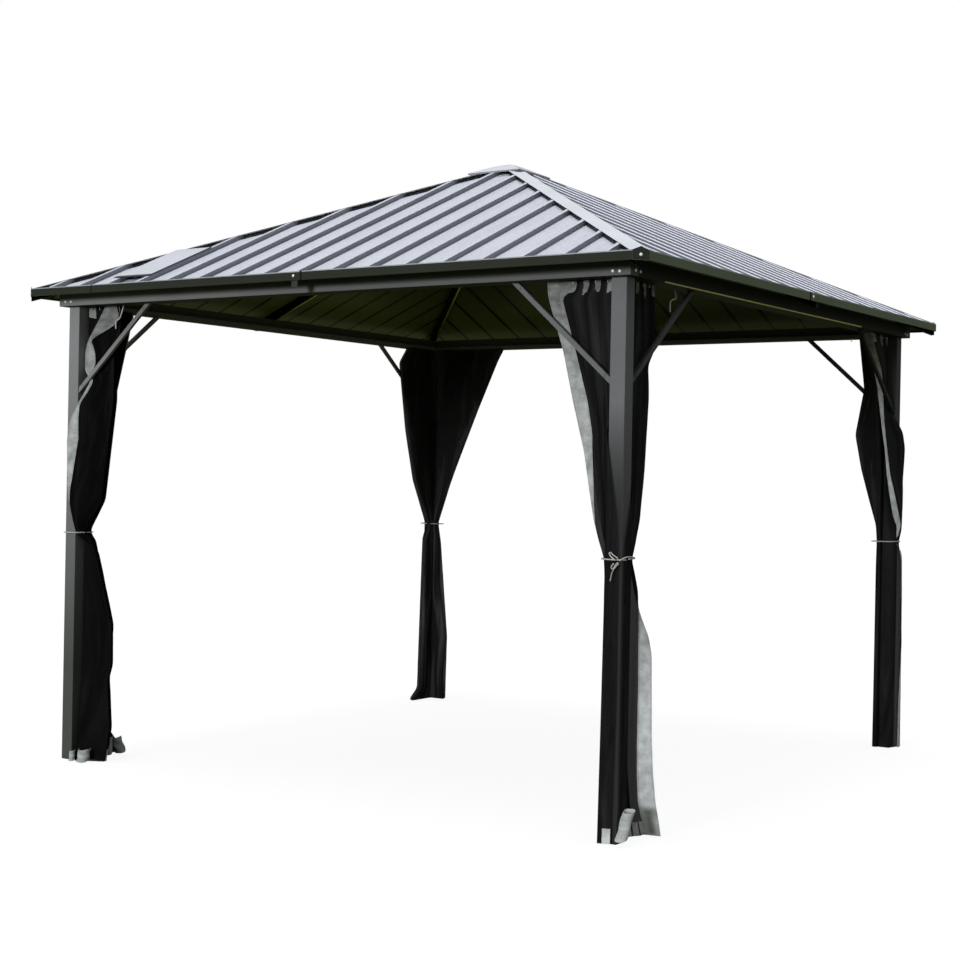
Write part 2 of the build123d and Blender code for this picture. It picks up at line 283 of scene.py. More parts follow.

# %% [markdown]
# The paint of the posts and braces holds painted shade: faces turned away from the front are darker, the posts
# are darker low down, where the light of the sky would no longer reach them well, the left post is painted the
# palest and the right one the darkest, and the right braces darken towards the back. The beams carry a painted
# shadow of the trim along the top of their faces and are painted nearly black underneath, as shade. The right
# beam is painted near black, as shade, with a painted bright highlight along its lower outer edge.

# %% Paint for posts, braces and beams
frame_paint, tree, paint = coated("frame_grey", 0.22, 0.62, 0.14)
place, facing = place_and_facing(tree)
# Painted shade: sides turned from the front are darker, the front posts darken low down, the left post is
# painted palest, the back posts dark and the right braces darker towards the back.
side_face_shade = blend(tree, fade(tree, place["Z"], 0.95, 1.6), (0.060, 0.062, 0.060, 1), (0.142, 0.146, 0.154, 1))
rise = fade(tree, place["Z"], 1.08, 1.52)
front_face_shade = blend(tree, times(tree, rise, rise), (0.021, 0.022, 0.022, 1), (0.146, 0.150, 0.158, 1))
facing_shade = blend(tree, fade(tree, facing["Y"], -0.5, -0.9), side_face_shade, front_face_shade)
left_post_shading = blend(tree, fade(tree, place["Z"], 0.4, 1.75), (0.066, 0.069, 0.064, 1), (0.235, 0.240, 0.250, 1))
front_posts_shading = blend(tree, fade(tree, minus(tree, place["X"]), 0.9, 1.2), facing_shade, left_post_shading)
post_shading = blend(tree, fade(tree, place["Y"], 0.8, 1.1), front_posts_shading, (0.050, 0.052, 0.050, 1))
right_brace_shading = blend(tree, fade(tree, place["Y"], -0.4, 0.4), (0.066, 0.068, 0.070, 1), (0.014, 0.015, 0.014, 1))
on_right = sums(tree, "GREATER_THAN", place["X"], 1.30)
right_brace = times(tree, on_right, near(tree, place["Y"], 0.0, 1.302))
wire(tree, blend(tree, right_brace, post_shading, right_brace_shading), paint)


def beam_finish(name, shade_and_glint):
    finish, tree, paint = coated(name, 0.25, 0.62, 0.12)
    place, facing = place_and_facing(tree)
    # Painted shadow of the trim across the top of each beam face; the right part of a face is painted darker
    # than the left, and faces turned down are painted near black, as shade.
    right_face_shadowed = blend(
        tree, fade(tree, place["Z"], 1.978, 1.964), (0.045, 0.048, 0.043, 1), (0.115, 0.118, 0.121, 1)
    )
    left_face_shadowed = blend(
        tree, fade(tree, place["Z"], 1.982, 1.968), (0.090, 0.093, 0.090, 1), (0.180, 0.184, 0.186, 1)
    )
    face = blend(tree, fade(tree, minus(tree, place["X"]), -0.2, 1.1), right_face_shadowed, left_face_shadowed)
    downward = fade(tree, minus(tree, facing["Z"]), 0.4, 0.8)
    shaded = blend(tree, downward, face, (0.022, 0.024, 0.016, 1))
    # Painted shade and highlight for the right beam: near black overall, with a bright olive painted highlight
    # along its lower outer edge.
    if shade_and_glint:
        shaded = blend(tree, 0.94, shaded, (0.014, 0.015, 0.012, 1))
        outside = sums(tree, "GREATER_THAN", place["X"], 1.3925)
        low = sums(tree, "LESS_THAN", place["Z"], 1.9545)
        edge = times(tree, outside, low, near(tree, place["Y"], -0.19, 0.95))
        shaded = blend(tree, edge, shaded, (0.80, 0.74, 0.30, 1))
    wire(tree, shaded, paint)
    return finish


beam_paint, right_beam_shade_glint_paint = beam_finish("beam_grey", False), beam_finish("beam_grey_shade_and_glint", True)
print("paints:", frame_paint.name, beam_paint.name, right_beam_shade_glint_paint.name)

# %% [markdown]
# The edge trim is green black, with a pale band along its top edge and dark gaps where two lengths meet, and
# its right-facing side is painted lighter, as painted sky light. The rafters are black under the roof; two of
# them show a thin strip of olive light along their lower edge, so their paint has a strip in the rafter's
# direction.

# %% Paint for trim and rafters
trim_paint, tree, paint = coated("trim_dark", 0.3, 0.7, 0.08)
place, facing = place_and_facing(tree)
# Painted light: faces turned to the right are painted a lighter green.
trim_face_light = blend(tree, fade(tree, facing["X"], 0.3, 0.8), (0.026, 0.030, 0.022, 1), (0.130, 0.155, 0.105, 1))
trim_top = sums(tree, "GREATER_THAN", place["Z"], 2.0165)
trim_grey = blend(tree, trim_top, trim_face_light, (0.34, 0.36, 0.38, 1))
trim_skin = 1.49
front_skin = sums(tree, "LESS_THAN", place["Y"], -trim_skin)
right_skin = sums(tree, "GREATER_THAN", place["X"], trim_skin)
front_gap = times(tree, front_skin, near(tree, place["X"], 0.033, 0.0045))
front_lap = times(tree, front_skin, near(tree, place["X"], -1.093, 0.0035))
right_gap = times(tree, right_skin, near(tree, place["Y"], -0.078, 0.008))
trim_gaps = sums(tree, "MAXIMUM", front_gap, sums(tree, "MAXIMUM", front_lap, right_gap))
wire(tree, blend(tree, trim_gaps, trim_grey, (0.006, 0.007, 0.006, 1)), paint)


def rafter_finish(name, across):
    finish, tree, paint = coated(name, 0.3, 0.5, 0.03)
    place, facing = place_and_facing(tree)
    reach = sums(tree, "MAXIMUM", sums(tree, "ABSOLUTE", place["X"]), sums(tree, "ABSOLUTE", place["Y"]))
    body = blend(tree, fade(tree, reach, 1.20, 1.30), (0.012, 0.013, 0.009, 1), (0.0015, 0.0016, 0.0013, 1))
    past_beam = sums(tree, "LESS_THAN", place["Y"], -1.396)
    front_end = times(tree, past_beam, near(tree, place["X"], 0.0, 0.3))
    body = blend(tree, front_end, body, (0.048, 0.050, 0.048, 1))
    if across is None:
        wire(tree, body, paint)
        return finish
    offset = sums(tree, "ADD", times(tree, place["X"], across[0]), times(tree, place["Y"], across[1]))
    underneath = fade(tree, minus(tree, facing["Z"]), 0.5, 0.7)
    strip = times(tree, sums(tree, "GREATER_THAN", offset, 0.004), underneath)
    wire(tree, blend(tree, strip, body, (0.95, 0.88, 0.26, 1)), paint)
    wire(tree, strip, tree.nodes["Principled BSDF"].inputs["Metallic"])
    return finish


rafter_paint = rafter_finish("rafter_dark", None)
left_rafter_paint = rafter_finish("rafter_dark_left", (0, 1))
far_rafter_paint = rafter_finish("rafter_dark_far", (math.sqrt(0.5), math.sqrt(0.5)))
print("paints:", trim_paint.name, rafter_paint.name, left_rafter_paint.name, far_rafter_paint.name)

# %% [markdown]
# ## Roof sheet
# The sheets are coated pale grey outside, and inside they are painted nearly black, as shade. The way a face
# looks, in the model's own axes, tells which it is: upward is a pan or a rib's top, sideways is a rib's wall,
# painted darker towards its foot as shade, and downward is the lining, where the ribs show as painted dark
# lines of shade and the eaves take a painted olive light. On the side slopes the walls are painted lighter
# than the pans near their tops, as painted light, and a painted shadow of the hip cap lies on the low pans
# beside it. Faint streaks run down the slope with the rain.

# %% Roof finish
roof_pitch, roof_peak, rib_pitch = 0.436, 2.650, 0.1689


def roof_finish(name, out, along, wall_shades):
    finish, tree, paint = coated(name, 0.16, 0.46, 0.3, speck_share=0.42)
    place, facing = place_and_facing(tree)
    reach = sums(tree, "ABSOLUTE", place[out])
    spot = tree.nodes.new("ShaderNodeTexCoord")
    fall = times(tree, reach, roof_pitch)
    height = sums(tree, "ADD", sums(tree, "SUBTRACT", place["Z"], roof_peak), fall)
    level_face = fade(tree, sums(tree, "ABSOLUTE", facing["Z"]), 0.35, 0.75)
    downward = fade(tree, minus(tree, facing["Z"]), 0.1, 0.5)
    stretch = tree.nodes.new("ShaderNodeMapping")
    stretch.inputs["Scale"].default_value = (30, 1.2, 1.2) if out == "Y" else (1.2, 30, 1.2)
    wire(tree, spot.outputs["Object"], stretch.inputs["Vector"])
    streak = add(tree, "ShaderNodeTexNoise", Scale=1.0, Detail=3.0)
    wire(tree, stretch.outputs[0], streak.inputs["Vector"])
    dust = add(tree, "ShaderNodeTexNoise", Scale=85.0, Detail=2.0)
    wire(tree, spot.outputs["Object"], dust.inputs["Vector"])
    streaks = times(tree, fade(tree, streak.outputs["Fac"], 0.42, 0.75), 0.22)
    specks = times(tree, fade(tree, dust.outputs["Fac"], 0.45, 0.65), 0.28)
    rain = sums(tree, "ADD", streaks, specks)
    pan = blend(tree, rain, (0.66, 0.68, 0.75, 1), (0.42, 0.43, 0.48, 1))
    sideways = sums(tree, "ABSOLUTE", place[along])
    # Painted shadow of the hip cap on the low pans beside it.
    by_hip = sums(tree, "LESS_THAN", sums(tree, "SUBTRACT", reach, sideways), 0.041)
    hip_cap_shadow = times(tree, by_hip, sums(tree, "LESS_THAN", height, 0.006))
    pan = blend(tree, hip_cap_shadow, pan, (0.045, 0.047, 0.055, 1))
    # Painted shade: rib walls darker towards their foot; on the side slopes they are painted lighter near
    # their tops, as painted light.
    low, high, foot, top = wall_shades
    wall = blend(tree, fade(tree, height, low, high), foot, top)
    outside = blend(tree, level_face, wall, pan)
    # Painted shade and light on the lining: dark lines along the ribs, and olive light near the eaves,
    # strongest on the left.
    beat = sums(tree, "FRACT", sums(tree, "ADD", sums(tree, "DIVIDE", place[along], rib_pitch), 20.5))
    rib_line = near(tree, beat, 0.5, 0.055)
    leftward = fade(tree, minus(tree, place["X"]), -0.2, 1.1)
    eave_olive_light = blend(tree, leftward, (0.070, 0.078, 0.030, 1), (0.19, 0.215, 0.06, 1))
    olive = blend(tree, fade(tree, reach, 0.75, 1.42), (0.0065, 0.008, 0.0045, 1), eave_olive_light)
    lining = blend(tree, rib_line, olive, (0.005, 0.006, 0.004, 1))
    wire(tree, blend(tree, downward, outside, lining), paint)
    return finish


front_wall_shading = (0.002, 0.014, (0.13, 0.135, 0.16, 1), (0.22, 0.225, 0.26, 1))
side_wall_shading = (0.0172, 0.0196, (0.12, 0.125, 0.15, 1), (0.78, 0.80, 0.88, 1))
roof_front = roof_finish("roof_pale_front", "Y", "X", front_wall_shading)
roof_side = roof_finish("roof_pale_side", "X", "Y", side_wall_shading)


def capped(name, tilt, rim, top):
    finish, tree, paint = coated(name, 0.16, 0.46, 0.25, speck_share=0.42)
    facing = place_and_facing(tree)[1]
    level_face = fade(tree, sums(tree, "ABSOLUTE", facing["Z"]), *tilt)
    wire(tree, blend(tree, level_face, rim, top), paint)
    return finish


# Painted shade: the caps' sides are painted near black, and the crown's steep sides a darker grey.
cap_finish = capped("roof_pale_cap", (0.3, 0.6), (0.020, 0.023, 0.018, 1), (0.79, 0.81, 0.86, 1))
crown_finish = capped("roof_pale_crown", (0.1, 0.3), (0.22, 0.23, 0.25, 1), (0.66, 0.68, 0.74, 1))
print("roof finishes ready")

# %% [markdown]
# ## Paint on the frame
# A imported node's mesh is loose triangles and its shape is right, so it stays. A Weld modifier joins the
# triangles and a small Bevel gives each folded or sawn edge the thin round that catches the light. Flat
# shading keeps the long thin triangles of a roof sheet free of smears.

# %% Dress the nodes
corners = {"front_right": (1, -1), "back_right": (1, 1), "back_left": (-1, 1), "front_left": (-1, -1)}
sides = ("front", "right", "back", "left")


def dress(node, paint, round_edge):
    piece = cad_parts[node]
    piece.data.materials.clear()
    piece.data.materials.append(paint)
    piece.data.shade_flat()
    weld = piece.modifiers.new("weld", "WELD")
    weld.merge_threshold = 0.00002
    bevel = piece.modifiers.new("round", "BEVEL")
    bevel.width, bevel.segments = round_edge, 2
    bevel.limit_method, bevel.angle_limit = "ANGLE", math.radians(30)
    return piece


post_round, bar_round, crown_round, trim_round, sheet_round = 0.0025, 0.0015, 0.0010, 0.0008, 0.0006
for corner in corners:
    dress("post_" + corner, frame_paint, post_round)
    dress("braces_" + corner, frame_paint, bar_round)
    dress("corner_block_" + corner, beam_paint, bar_round)
    dress("hip_rafter_" + corner, far_rafter_paint if corner == "back_left" else rafter_paint, bar_round)
    dress("hip_cap_" + corner, cap_finish, sheet_round)
for side in sides:
    dress(side + "_beam", right_beam_shade_glint_paint if side == "right" else beam_paint, bar_round)
    dress(side + "_fascia", trim_paint, trim_round)
    dress(side + "_rafter", left_rafter_paint if side == "left" else rafter_paint, bar_round)
    dress(side + "_roof_panel", roof_front if side in ("front", "back") else roof_side, sheet_round)
dress("peak_block", rafter_paint, bar_round)
dress("top_cap", crown_finish, crown_round)
print("dressed the steel nodes")

# %% [markdown]
# ## Bolts
# A bolt head is a short round with a domed top. It is modelled once: a cylinder whose top rim is beveled.
# The copies are turned to face out of their plate and joined, one piece for each kind of plate.

# %% One bolt head
def only(piece):
    bpy.ops.object.select_all(action="DESELECT")
    piece.select_set(True)
    bpy.context.view_layer.objects.active = piece


bpy.ops.object.select_all(action="DESELECT")
bolt_radius, bolt_depth, bolt_middle, bolt_rim = 0.0056, 0.0034, 0.0012, 0.002
bpy.ops.mesh.primitive_cylinder_add(
    vertices=20, radius=bolt_radius, depth=bolt_depth, location=(0, 0, bolt_middle)
)
bolt = bpy.context.object
bolt.name = "bolt_head"
bpy.ops.object.transform_apply(location=True)
bpy.ops.object.mode_set(mode="EDIT")
bpy.ops.mesh.select_mode(type="EDGE")
bpy.ops.mesh.select_all(action="DESELECT")
bpy.ops.object.mode_set(mode="OBJECT")
for edge in bolt.data.edges:
    edge.select = all(bolt.data.vertices[v].co.z > bolt_rim for v in edge.vertices)
bpy.ops.object.mode_set(mode="EDIT")
bpy.ops.mesh.bevel(offset=0.0022, segments=3, affect="EDGES")
bpy.ops.object.mode_set(mode="OBJECT")
bpy.ops.object.shade_smooth_by_angle(angle=math.radians(50))
bolt.data.materials.append(bolt_zinc)


def copies(pattern, name, places):
    made = []
    for spot, facing in places:
        piece = bpy.data.objects.new(name, pattern.data.copy())
        turn = Vector(facing).to_track_quat("Z", "Y").to_matrix().to_4x4()
        piece.data.transform(Matrix.Translation(spot) @ turn)
        bpy.context.collection.objects.link(piece)
        made.append(piece)
    only(made[0])
    for piece in made:
        piece.select_set(True)
    bpy.ops.object.join()
    whole = bpy.context.object
    whole.name = name
    print(name, len(places), "copies,", len(whole.data.polygons), "faces")
    return whole


print("bolt head", len(bolt.data.polygons), "faces")

# %% Where the bolts are
def turned(quarters, x, y, z):
    for k in range(quarters):
        x, y = -y, x
    return (x, y, z)


block_places = ((1.326, 1.966), (1.353, 1.9645), (-1.358, 1.969), (-1.325, 1.968))
trim_bolt_face, trim_height, corner_height = 1.5012, 2.003, 2.004
diagonal = 2.0923 / math.sqrt(2)
brace_foot, brace_drop, brace_runs = 1.591, 0.359, (0.400, 0.458, 0.400, 0.458)
block_bolts, trim_bolts, brace_bolts = [], [], []
for quarters, run in enumerate(brace_runs):
    out = turned(quarters, 0, -1, 0)
    for along, z in block_places:
        block_bolts.append((turned(quarters, along, -beam_face, z), out))
    trim_bolts.append((turned(quarters, diagonal, -diagonal, corner_height), turned(quarters, 1, -1, 0)))
    splice = -0.002 if quarters == 0 else -0.052
    trim_bolts.append((turned(quarters, splice, -trim_bolt_face, trim_height), out))
    for hand in (1, -1):
        for share in (0.06, 0.94):
            along = hand * (post_inner - run * share)
            brace_bolts.append((turned(quarters, along, -brace_face, brace_foot + brace_drop * share), out))
bolt_sets = {"bolts_on_blocks": block_bolts, "bolts_on_trim": trim_bolts, "bolts_on_braces": brace_bolts}
bolt_pieces = {name: copies(bolt, name, places) for name, places in bolt_sets.items()}
bolt_pieces["bolts_on_braces"].data.materials[0] = frame_paint
bpy.data.objects.remove(bolt)
for piece in bolt_pieces.values():
    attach(piece, "root")
print("bolts placed")

# %% [markdown]
# ## Splices in the trim
# The edge trim of each side is in lengths that lap over one another. A lap is a thin plate with its edges
# beveled, set on the trim's face: one at the middle of the side, next to its bolt, and one near the end.

# %% Laps on the trim
bpy.ops.object.select_all(action="DESELECT")
bpy.ops.mesh.primitive_cube_add(size=1, location=(0, 0, 0))
lap = bpy.context.object
lap.scale = (0.060, 0.034, 0.0016)
bpy.ops.object.transform_apply(scale=True)
bpy.ops.object.mode_set(mode="EDIT")
bpy.ops.mesh.select_all(action="SELECT")
bpy.ops.mesh.bevel(offset=0.0006, segments=2, affect="EDGES")
bpy.ops.object.mode_set(mode="OBJECT")
lap.data.materials.append(trim_paint)
lap_face, lap_places = 1.5002, []
for quarters in range(4):
    lap_hand = 1 if quarters in (1, 2) else -1
    for along in (lap_hand * 0.030, lap_hand * 1.160):
        lap_places.append((turned(quarters, along, -lap_face, trim_height), turned(quarters, 0, -1, 0)))
laps = copies(lap, "trim_laps", lap_places)
bpy.data.objects.remove(lap)
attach(laps, "root")
print("laps", len(lap_places))

# %% [markdown]
# ## Loose cover on the roof
# Near the left hip a spare flat sheet rests on two ribs of the front slope. It starts as a box at the slope's
# angle with a beveled rim, and its lower and right edges are painted dark, as painted shade.

# %% Cover sheet
cover_finish, tree, paint = coated("roof_pale_cover", 0.16, 0.46, 0.25, speck_share=0.42)
place, facing = place_and_facing(tree)
# Painted shade along the cover's lower and right edges.
right_rim = sums(tree, "GREATER_THAN", place["X"], -0.843)
low_rim = sums(tree, "LESS_THAN", place["Y"], -1.405)
cover_rim_shade = sums(tree, "MAXIMUM", right_rim, low_rim)
wire(tree, blend(tree, cover_rim_shade, (0.62, 0.64, 0.70, 1), (0.030, 0.031, 0.038, 1)), paint)
slope = math.atan(roof_pitch)
cover_mid, cover_size = (-0.936, -1.240), (0.206, 0.370, 0.0024)
rib_lift, cover_lift = 0.0218, 0.0028
cover_z = roof_peak + roof_pitch * cover_mid[1] + rib_lift + cover_lift
bpy.ops.object.select_all(action="DESELECT")
bpy.ops.mesh.primitive_cube_add(size=1, location=(0, 0, 0))
cover = bpy.context.object
cover.name = "roof_cover"
cover.scale = (cover_size[0], cover_size[1] / math.cos(slope), cover_size[2])
bpy.ops.object.transform_apply(scale=True)
bpy.ops.object.mode_set(mode="EDIT")
bpy.ops.mesh.select_all(action="SELECT")
bpy.ops.mesh.bevel(offset=0.0006, segments=1, affect="EDGES")
bpy.ops.object.mode_set(mode="OBJECT")
cover.data.transform(Matrix.Translation((*cover_mid, cover_z)) @ Matrix.Rotation(slope, 4, "X"))
cover.data.materials.append(cover_finish)
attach(cover, "root")
print("cover", [round(v, 3) for v in cover.dimensions])

# %% [markdown]
# ## Ties and cords
# A thin pale cord goes once round each post with both bunches of netting and is knotted. A cord is one
# smooth spline through a few points, a little off what it binds.

# %% Cord finish and helpers
cord_finish = bpy.data.materials.new("tie_cord")
cord_finish.use_nodes = True
ct = cord_finish.node_tree
cord_skin = ct.nodes["Principled BSDF"]
cord_skin.inputs["Roughness"].default_value = 0.8
cord_spot = ct.nodes.new("ShaderNodeTexCoord")
cord_twist = add(ct, "ShaderNodeTexWave", Scale=160.0, Distortion=2.0)
wire(ct, cord_spot.outputs["Object"], cord_twist.inputs["Vector"])
cord_colour = blend(ct, cord_twist.outputs["Fac"], (0.34, 0.34, 0.32, 1), (0.62, 0.62, 0.58, 1))
wire(ct, cord_colour, cord_skin.inputs["Base Color"])
cord_bump = add(ct, "ShaderNodeBump", Strength=0.5, Distance=0.0006)
wire(ct, cord_twist.outputs["Fac"], cord_bump.inputs["Height"])
wire(ct, cord_bump.outputs["Normal"], cord_skin.inputs["Normal"])


def cord_curve(name, points, diameter):
    line = bpy.data.curves.new(name, "CURVE")
    line.dimensions = "3D"
    line.bevel_depth, line.bevel_resolution = diameter / 2, 3
    line.use_fill_caps = True
    line.resolution_u = 10
    run = line.splines.new("NURBS")
    run.points.add(len(points) - 1)
    for spot, point in zip(run.points, points):
        spot.co = (*point, 1)
    run.order_u = 3
    run.use_endpoint_u = True
    piece = bpy.data.objects.new(name, line)
    bpy.context.collection.objects.link(piece)
    line.materials.append(cord_finish)
    return piece


def curve_length(piece):
    bare = piece.copy()
    bare.data = piece.data.copy()
    bare.data.bevel_depth = 0
    mesh = bpy.data.meshes.new_from_object(bare)
    spots = [v.co for v in mesh.vertices]
    bpy.data.curves.remove(bare.data)
    bpy.data.meshes.remove(mesh)
    return sum((b - a).length for a, b in zip(spots, spots[1:]))


def free_cord(name, points, diameter):
    piece = cord_curve(name, points, diameter)
    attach(piece, "root")
    length = curve_length(piece)
    print(name, round(length, 3), "m")
    return piece


print("cord helpers ready")

# %% Tie each post
tie_height, tie_rise, tie_width = 0.9775, 0.004, 0.005
for corner, (hx, hy) in corners.items():
    tight, snug = {"front_right": (0.013, 0), "front_left": (0.015, 0.015)}.get(corner, (0, 0))
    route = [
        (1.376, 1.352), (1.377, 1.377), (1.310, 1.378),
        (1.274 + tight, 1.372), (1.262 + tight, 1.330), (1.262 + tight, 1.285),
        (1.285 + snug, 1.262 + snug), (1.330, 1.262 + snug), (1.372, 1.274 + snug),
        (1.378, 1.310), (1.383, 1.345),
    ]
    points = [(hx * a, hy * b, tie_height + tie_rise * k / len(route)) for k, (a, b) in enumerate(route)]
    tie = free_cord("cord_" + corner, points, tie_width)
    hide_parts("tie_" + corner)

# %% [markdown]
# The tie on the near post ends in a bow on the post's front: two loops and a tail, each a short cord that
# starts at the knot. Two more ends of cord hang from the heads of the curtains.

# %% Bow and loose ends
bow_width, tail_width, end_width = 0.0042, 0.003, 0.006
free_cord("bow_loop_up", [
    (1.362, -1.384, 0.984), (1.348, -1.388, 0.992), (1.334, -1.387, 1.004), (1.327, -1.385, 1.000),
    (1.335, -1.392, 0.992), (1.350, -1.394, 0.982), (1.356, -1.394, 0.978),
], bow_width)
free_cord("bow_loop_down", [
    (1.362, -1.384, 0.970), (1.354, -1.388, 0.960), (1.346, -1.387, 0.948), (1.340, -1.385, 0.945),
    (1.339, -1.391, 0.952), (1.346, -1.394, 0.961), (1.352, -1.394, 0.966),
], bow_width)
free_cord("bow_tail", [
    (1.366, -1.385, 0.966), (1.352, -1.392, 0.950), (1.340, -1.388, 0.930), (1.336, -1.385, 0.912),
    (1.333, -1.386, 0.905),
], tail_width)
free_cord("bow_strand", [
    (1.368, -1.384, 0.976), (1.384, -1.378, 0.9875), (1.391, -1.350, 0.9895), (1.390, -1.322, 0.986),
    (1.384, -1.306, 0.985),
], bow_width)
free_cord("loose_end_right", [
    (1.325, -0.930, 1.947), (1.338, -0.934, 1.920), (1.340, -0.960, 1.910), (1.341, -0.990, 1.905),
    (1.340, -0.993, 1.884), (1.340, -0.990, 1.862),
], end_width)
free_cord("loose_end_left", [
    (-1.080, -1.325, 1.947), (-1.083, -1.338, 1.900), (-1.092, -1.340, 1.889), (-1.107, -1.340, 1.887),
    (-1.110, -1.340, 1.870), (-1.108, -1.340, 1.849),
], end_width)

# %% [markdown]
# ## Netting
# Each side of the frame has two curtains of black net with broad grey borders, drawn back to the posts.
# The map of a curtain keeps the cloth's own width and drop in metres, so the border, the hem, the tabs at the
# head and the stitches follow the cloth through every fold. The far curtains turn their borders away, so they
# get the plain net. The net at the left post hangs in shade and is painted darker, as painted shade, and the
# border at the right post is painted pale from its head down, as painted light. Lighter streaks along the
# folds are painted sheen, and the grey border is painted darker in its creases and near the head, as painted
# shade.

# %% Netting finish
net_width, net_drop = 1.36, 1.944
border_width, hem_width, head_width = 0.105, 0.052, 0.040
thread_pitch, tab_pitch, fold_pitch, stitch_pitch, seam_half = 0.0032, 0.078, 0.064, 0.007, 0.0018


def net_finish(name, banded, lit_border_span=(1.15, 1.5), shade=1.0):
    finish = bpy.data.materials.new(name)
    finish.use_nodes = True
    tree = finish.node_tree
    skin = tree.nodes["Principled BSDF"]
    skin.inputs["Specular IOR Level"].default_value = 0.10 * shade
    cloth = add(tree, "ShaderNodeUVMap", uv_map="cloth")
    split = tree.nodes.new("ShaderNodeSeparateXYZ")
    wire(tree, cloth.outputs[0], split.inputs[0])
    across, down = split.outputs["X"], split.outputs["Y"]
    crease_map = tree.nodes.new("ShaderNodeMapping")
    crease_map.inputs["Scale"].default_value = (12, 22, 1)
    wire(tree, cloth.outputs[0], crease_map.inputs["Vector"])
    crease = add(tree, "ShaderNodeTexNoise", Scale=1.0, Detail=5.0, Roughness=0.62)
    wire(tree, crease_map.outputs[0], crease.inputs["Vector"])
    threads = [sums(tree, "ABSOLUTE", wave(tree, way, thread_pitch)) for way in (across, down)]
    hole = times(tree, *[fade(tree, thread, 0.15, 0.6) for thread in threads])
    cover = sums(tree, "SUBTRACT", 0.998, times(tree, hole, 0.03))
    thin_edge = sums(tree, "ADD", 0.55, times(tree, fade(tree, across, 0.0, 0.022), 0.45))
    cover = times(tree, cover, thin_edge)
    fold_map = tree.nodes.new("ShaderNodeMapping")
    fold_map.inputs["Scale"].default_value = (17, 1.5, 1)
    wire(tree, cloth.outputs[0], fold_map.inputs["Vector"])
    fold = add(tree, "ShaderNodeTexNoise", Scale=1.0, Detail=4.0, Roughness=0.6, Distortion=0.5)
    wire(tree, fold_map.outputs[0], fold.inputs["Vector"])
    height = crease.outputs["Fac"]
    # Painted sheen: lighter streaks along the folds, on the plain and the banded net.
    if not banded:
        lit_fold = fade(tree, fold.outputs["Fac"], 0.48, 0.72)
        black = blend(tree, lit_fold, (0.010, 0.010, 0.010, 1), (0.075, 0.077, 0.074, 1))
    if banded:
        deep, lit = [(tone * shade, tone * shade, 1.09 * tone * shade, 1) for tone in (0.0045, 0.024)]
        black = blend(tree, fade(tree, fold.outputs["Fac"], 0.44, 0.74), deep, lit)
        border = sums(tree, "GREATER_THAN", across, net_width - border_width)
        front_cloth = sums(tree, "GREATER_THAN", across, 0.99)
        droop = times(tree, fold.outputs["Fac"], 0.06)
        tabs = sums(tree, "GREATER_THAN", wave(tree, sums(tree, "ADD", across, droop), tab_pitch), 0.1)
        top_edge = sums(tree, "LESS_THAN", down, times(tree, height, 2 * head_width))
        head = times(tree, top_edge, front_cloth, tabs)
        back_part = sums(tree, "LESS_THAN", across, 0.036)
        hem_part = sums(tree, "MAXIMUM", back_part, sums(tree, "GREATER_THAN", across, 1.09))
        folds = sums(tree, "GREATER_THAN", wave(tree, across, fold_pitch), -0.45)
        hem = times(tree, sums(tree, "GREATER_THAN", down, net_drop - hem_width), hem_part, folds)
        band = sums(tree, "MAXIMUM", border, sums(tree, "MAXIMUM", hem, head))
        seam_in = near(tree, across, net_width - border_width + 0.008, seam_half)
        seam_out = near(tree, across, net_width - 0.010, seam_half)
        dashes = sums(tree, "GREATER_THAN", wave(tree, down, stitch_pitch), -0.2)
        stitch = times(tree, sums(tree, "MAXIMUM", seam_in, seam_out), dashes)
        # Painted shade on the grey border: darker in its creases and near the head; on the bright net it is
        # painted lighter from its head down, as painted light.
        crease_shade = fade(tree, height, 0.36, 0.62)
        pale = blend(tree, crease_shade, (0.26, 0.275, 0.277, 1), (0.46, 0.48, 0.487, 1))
        dim = blend(tree, crease_shade, (0.11, 0.116, 0.114, 1), (0.25, 0.26, 0.26, 1))
        lit_border_grey = blend(tree, crease_shade, (0.40, 0.42, 0.43, 1), (0.62, 0.645, 0.66, 1))
        upper = blend(tree, fade(tree, down, 0.03, 0.34), dim, pale)
        grey = blend(tree, fade(tree, down, *lit_border_span), upper, lit_border_grey)
        sewn = blend(tree, times(tree, stitch, 0.65), grey, (0.13, 0.135, 0.14, 1))
        black = blend(tree, band, black, sewn)
        cover = sums(tree, "MAXIMUM", cover, band)
        height = sums(tree, "ADD", height, times(tree, stitch, 0.25))
    bump = add(tree, "ShaderNodeBump", Strength=0.45, Distance=0.004)
    wire(tree, black, skin.inputs["Base Color"])
    wire(tree, cover, skin.inputs["Alpha"])
    rough = sums(tree, "ADD", 0.66, times(tree, crease.outputs["Fac"], 0.3))
    wire(tree, rough, skin.inputs["Roughness"])
    wire(tree, height, bump.inputs["Height"])
    wire(tree, bump.outputs["Normal"], skin.inputs["Normal"])
    print(name, len(tree.nodes), "nodes")
    return finish


banded_net, plain_net = net_finish("netting", True), net_finish("netting_plain", False)
bright_net = net_finish("netting_bright", True, lit_border_span=(0.06, 0.16))
dark_net = net_finish("netting_dark", True, shade=0.4)

# %% [markdown]
# A curtain is one sheet: a grid whose columns run along the cloth's width and whose rows hang down. Each
# row follows a path: from the post along the back to the far end, back to the post in tight pleats, and
# once more out as a smooth front panel that ends in the border. The corners of the path come from tables
# of height, distance from the post's inner face and distance from the frame's middle. Where a border
# turns under near the tie, the map keeps it off the cloth that shows.

# %% A gathered curtain
net_top, net_bottom = 1.948, 0.004
net_columns, net_rows, pleat_count = 320, 140, 28
pleat_half, mass_mid, pass_line, panel_line = 0.010, 1.307, 1.292, 1.321
mass_from, mass_to, panel_from = 0.15, 0.70, 0.715
quarter_of = {"front": 0, "right": 1, "back": 2, "left": 3}


